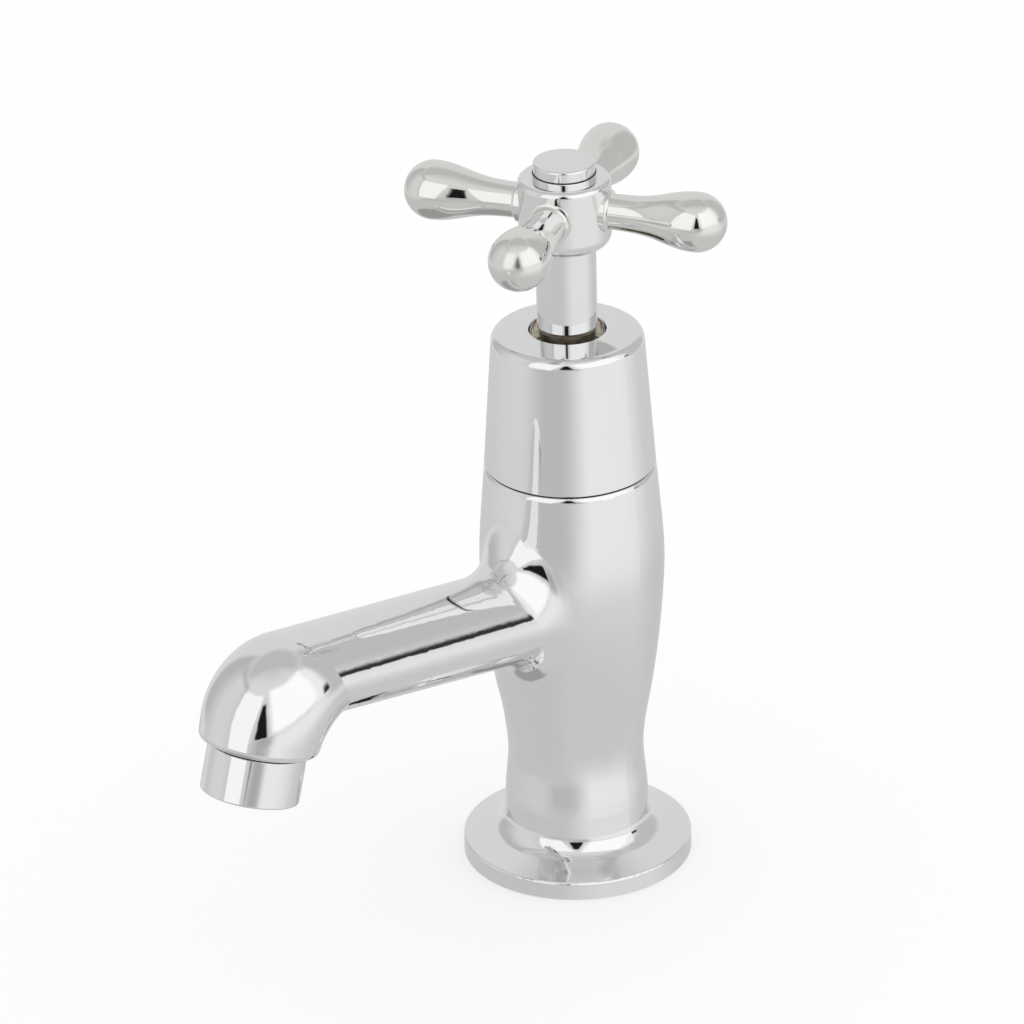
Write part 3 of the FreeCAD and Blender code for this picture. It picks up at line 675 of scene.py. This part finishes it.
@dataclass
class CrossHandle:
    """The hub with its stem, cap and screw, and the four arms round it, in millimetres."""

    arms: int = 4
    stem_radius: float = 6.7
    stem_bore: float = 4.1
    stem_bottom: float = 130.9
    stem_lip: float = 0.3
    stem_lip_height: float = 0.9
    stem_top: float = 150.6
    socket_top: float = 147.0
    spigot_radius: float = 5.4
    spigot_top: float = 155.8
    screw_bore: float = 2.6
    stem_sides: int = 160
    stem_crisp_angle: float = 8.0
    bush_radius: float = 6.15
    bush_bottom: float = 127.9
    bush_chamfer: float = 0.25
    ring_sides: int = 120
    joint_inside: float = 6.9
    joint_outside: float = 7.08
    joint_bottom: float = 168.2
    joint_height: float = 0.2

    def stem(self) -> bpy.types.Object:
        """Make the plated stem down to the bonnet, bored for the spindle and the screw.

        Returns:
            The stem, in its place.
        """
        foot = self.stem_radius - self.stem_lip
        outline = [(self.stem_bore, self.stem_bottom), (foot, self.stem_bottom),
                   (self.stem_radius, self.stem_bottom + self.stem_lip_height),
                   (self.stem_radius, self.stem_top), (self.spigot_radius, self.stem_top),
                   (self.spigot_radius, self.spigot_top), (self.screw_bore, self.spigot_top),
                   (self.screw_bore, self.socket_top), (self.stem_bore, self.socket_top)]
        mesh = Lathe(self.stem_sides).turn(outline)
        return finished_piece("handle_stem", mesh, self.stem_crisp_angle)

    def bush(self) -> bpy.types.Object:
        """Make the bare lower end of the stem, down inside the bonnet's opening.

        Returns:
            The bush, in its place.
        """
        outline = [(self.stem_bore, self.bush_bottom),
                   (self.bush_radius - self.bush_chamfer, self.bush_bottom),
                   (self.bush_radius, self.bush_bottom + self.bush_chamfer),
                   (self.bush_radius, self.stem_bottom), (self.stem_bore, self.stem_bottom)]
        return finished_piece("stem_bush", Lathe(self.ring_sides).turn(outline))

    def cap_joint(self) -> bpy.types.Object:
        """Make the thin dark ring between the cap and its seat on the hub.

        Returns:
            The ring, in its place.
        """
        top = self.joint_bottom + self.joint_height
        outline = [(self.joint_inside, self.joint_bottom), (self.joint_outside, self.joint_bottom),
                   (self.joint_outside, top), (self.joint_inside, top)]
        return finished_piece("cap_joint", Lathe(self.ring_sides).turn(outline))

    def build(self, wardrobe: Wardrobe) -> None:
        """Make the stem, its bush and the cap's joint, and dress every part of the handle.

        Args:
            wardrobe: the finished materials.
        """
        for piece, slot in ((self.stem(), Slot.CHROME_PLATE), (self.bush(), Slot.BRASS),
                            (self.cap_joint(), Slot.BLACK_RUBBER)):
            wardrobe.dress_piece(piece, slot)
            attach(piece, Body.HANDLE.value)
            if slot is not Slot.BLACK_RUBBER:
                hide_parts("handle_sleeve")
            log.info("built %s with %d faces", piece.name, len(piece.data.polygons))
        for name in ("handle_hub", "handle_sleeve", "index_cap"):
            wardrobe.dress_node(name, Slot.CHROME_PLATE)
        for number in range(1, self.arms + 1):
            wardrobe.dress_node("handle_arm_%d" % number, Slot.ARM_PLATE)
        wardrobe.dress_node("handle_screw", Slot.STEEL)
        wardrobe.dress_node("cap_seal", Slot.BLACK_RUBBER)


# ---------------------------------------------------------------- the studio
@dataclass(frozen=True)
class Viewpoint:
    """Where the camera stands and which way it looks, in metres in the tap's frame."""

    place: tuple[float, float, float] = (0.97458, -1.04511, 0.79968)
    ahead: tuple[float, float, float] = (-0.61605, 0.64849, -0.44714)
    upwards: tuple[float, float, float] = (-0.28992, 0.34114, 0.89419)
    lens: float = 250.8
    sensor: float = 36.0
    nearest: float = 0.01
    farthest: float = 50.0

    def azimuth(self) -> float:
        """The camera's bearing from the tap's axis, in radians from +X."""
        return math.atan2(self.place[1], self.place[0])

    def build(self) -> None:
        """Set up the camera."""
        data = bpy.data.cameras.new("studio_camera")
        data.lens = self.lens
        data.sensor_width = self.sensor
        data.clip_start = self.nearest
        data.clip_end = self.farthest
        camera = bpy.data.objects.new("studio_camera", data)
        ahead = Vector(self.ahead).normalized()
        right = ahead.cross(Vector(self.upwards)).normalized()
        over = right.cross(ahead)
        turn = Matrix((right, over, -ahead)).transposed().to_4x4()
        camera.matrix_world = Matrix.Translation(self.place) @ turn
        bpy.context.scene.collection.objects.link(camera)
        bpy.context.scene.camera = camera
        log.info("camera stands %.2f m from the tap", Vector(self.place).length)


@dataclass(frozen=True)
class Card:
    """A lit or shaded card of the studio, as the polished metal sees it.

    Angles are in degrees: bearings from the camera's own, positive to its right, and heights
    above the horizon. Each edge fades over its softness, and a side edge may lean to the right
    by its top.
    """

    name: str
    left: float
    right: float
    low: float
    high: float
    level: float
    side_softness: float = 4.0
    low_softness: float = 6.0
    high_softness: float = 6.0
    left_lean: float = 0.0
    right_lean: float = 0.0


@dataclass
class Studio:
    """A pale floor and a soft studio round the tap.

    The cards are laid one over the other in this order. Each gives its name, left, right, low and
    high edges, level, the softness of its sides, foot and head, and how far its sides lean.
    """

    viewpoint: Viewpoint
    floor_size: float = 12.0
    floor_drop: float = 0.0002
    floor_white: float = 0.55
    floor_blotches: float = 3.0
    floor_shade: float = 0.995
    plain_level: float = 1.0
    backdrop_level: float = 0.79
    cards: tuple[Card, ...] = (
        Card("table", -181, 181, -91, -14, 0.64, 1, 4, 14),
        Card("table at the horizon", -181, 181, -22, -12, 0.80, 1, 10, 10),
        Card("table under the foot, left", -170, -32, -91, -54, 0.38, 14, 4, 6),
        Card("table on the right", -20, 130, -91, -26, 0.68, 40, 4, 20),
        Card("table under the right softbox", 2, 100, -29, -4, 0.98, 52, 30, 10),
        Card("table under the camera", -52, 6, -22, -6, 0.57, 44, 10, 8),
        Card("ceiling", -181, 181, 58, 91, 0.60, 1, 14, 1),
        Card("ceiling near the camera", -75, 80, 52, 78, 0.84, 44, 12, 48),
        Card("left wall", -144, -60, -14, 56, 0.56, 10, 10, 8),
        Card("left wall near the softbox", -112, -56, -16, 50, 0.78, 44, 6, 6),
        Card("right wall", 98, 146, -12, 56, 0.60, 16, 10, 10),
        Card("left softbox", -58, -25, -10, 50, 1.12, 3, 10, 6, 0, 17),
        Card("right softbox", 16, 86, -1, 56, 1.19, 14, 8, 8, -12, 0),
        Card("right softbox fades", 80, 94, -4, 50, 1.02, 10, 6, 6),
        Card("camera side", -23, 16, -14, 40, 0.70, 8, 8, 4, 16, -15),
        Card("under the camera", -12, 16, -12, -3, 0.48, 22, 8, 2),
        Card("camera and its stand", -13, 8, -2.2, 38, 0.012, 4, 1, 4, 6, -8),
        Card("flag on the right", 91, 98, -2, 8, 0.04, 4, 3, 9),
    )

    def world_light(self) -> None:
        """Light the scene plainly, white to the camera, with the studio's cards in the metal."""
        world = bpy.data.worlds.new("soft_studio")
        world.use_nodes = True
        bpy.context.scene.world = world
        sheet = NodeSheet(world.node_tree)
        turn = sheet.add("Mapping", vector_type="POINT")
        turn.inputs["Rotation"].default_value = (0.0, 0.0, -self.viewpoint.azimuth())
        sheet.feed(turn.inputs["Vector"], sheet.add("TexCoord").outputs["Generated"])
        split = sheet.add("SeparateXYZ")
        sheet.feed(split.inputs[0], turn.outputs["Vector"])
        round_axis = sheet.sum_of("ARCTAN2", split.outputs["Y"], split.outputs["X"])
        bearing = sheet.sum_of("DEGREES", round_axis)
        height = sheet.sum_of("DEGREES", sheet.sum_of("ARCSINE", split.outputs["Z"]))
        level: object = self.backdrop_level
        for card in self.cards:
            level = self.hang(sheet, card, bearing, height, level)
        path = sheet.add("LightPath")
        shown = sheet.add("Mix", data_type="FLOAT")
        sheet.feed(shown.inputs["Factor"], path.outputs["Is Glossy Ray"])
        sheet.feed(shown.inputs["A"], self.plain_level)
        sheet.feed(shown.inputs["B"], level)
        light = sheet.add("Background")
        light.inputs["Color"].default_value = (1.0, 1.0, 1.0, 1.0)
        sheet.feed(light.inputs["Strength"], shown.outputs[0])
        output = sheet.add("OutputWorld")
        sheet.feed(output.inputs["Surface"], light.outputs["Background"])
        log.info("hung %d studio cards", len(self.cards))

    def hang(self, sheet: NodeSheet, card: Card, bearing: bpy.types.NodeSocket,
             height: bpy.types.NodeSocket, below: object) -> bpy.types.NodeSocket:
        """Lay one card over what is already there.

        Args:
            sheet: the world's node tree.
            card: the card.
            bearing: degrees round from the camera.
            height: degrees above the horizon.
            below: the level so far, a number or a socket.

        Returns:
            The level with the card in place.
        """
        side, foot, head = card.side_softness / 2, card.low_softness / 2, card.high_softness / 2
        rise = sheet.spread(height, card.low, card.high, smooth=False)
        left = sheet.sum_of("SUBTRACT", bearing, sheet.sum_of("MULTIPLY", rise, card.left_lean))
        right = sheet.sum_of("SUBTRACT", bearing, sheet.sum_of("MULTIPLY", rise, card.right_lean))
        edges = (sheet.spread(left, card.left - side, card.left + side),
                 sheet.spread(right, card.right - side, card.right + side, 1.0, 0.0),
                 sheet.spread(height, card.low - foot, card.low + foot),
                 sheet.spread(height, card.high - head, card.high + head, 1.0, 0.0))
        across = sheet.sum_of("MULTIPLY", edges[0], edges[1])
        upright = sheet.sum_of("MULTIPLY", edges[2], edges[3])
        cover = sheet.sum_of("MULTIPLY", across, upright)
        mix = sheet.add("Mix", data_type="FLOAT", label=card.name)
        sheet.feed(mix.inputs["Factor"], cover)
        sheet.feed(mix.inputs["A"], below)
        sheet.feed(mix.inputs["B"], card.level)
        return mix.outputs[0]

    def floor(self) -> None:
        """Lay the pale floor that the tap stands on."""
        mesh = bmesh.new()
        bmesh.ops.create_grid(mesh, x_segments=4, y_segments=4, size=self.floor_size / 2)
        bmesh.ops.translate(mesh, verts=mesh.verts, vec=(0, 0, -self.floor_drop))
        floor = finished_piece("studio_floor", mesh)
        material = bpy.data.materials.new("pale_floor")
        material.use_nodes = True
        sheet = NodeSheet(material.node_tree)
        shader = sheet.add("BsdfDiffuse")
        place = sheet.add("TexCoord").outputs["Object"]
        tone = sheet.spread(sheet.noise(place, self.floor_blotches), *MIDDLE)
        sheet.feed(shader.inputs["Color"], sheet.blend(tone, (1.0,) * 3, (self.floor_shade,) * 3))
        white = sheet.add("Emission")
        white.inputs["Strength"].default_value = 1.0
        direct = sheet.add("LightPath").outputs["Is Camera Ray"]
        seen = sheet.sum_of("MULTIPLY", direct, self.floor_white)
        both = sheet.add("MixShader")
        for socket, value in zip(both.inputs,
                                 (seen, shader.outputs["BSDF"], white.outputs["Emission"])):
            sheet.feed(socket, value)
        output = sheet.add("OutputMaterial")
        sheet.feed(output.inputs["Surface"], both.outputs["Shader"])
        floor.data.materials.append(material)
        floor.visible_glossy = False
        log.info("laid the floor")

    def build(self) -> None:
        """Set up the light and the floor."""
        self.world_light()
        self.floor()
        bpy.context.scene.view_settings.view_transform = "Standard"


def main() -> None:
    """Build the studio and every sub-assembly in order."""
    viewpoint = Viewpoint()
    viewpoint.build()
    Studio(viewpoint).build()
    wardrobe = Wardrobe()
    for part in (Casting(), DeckFixing(), Cartridge(), Aerator(), CrossHandle()):
        part.build(wardrobe)
        log.info("finished %s", type(part).__name__)


if __name__ == "__main__":
    main()
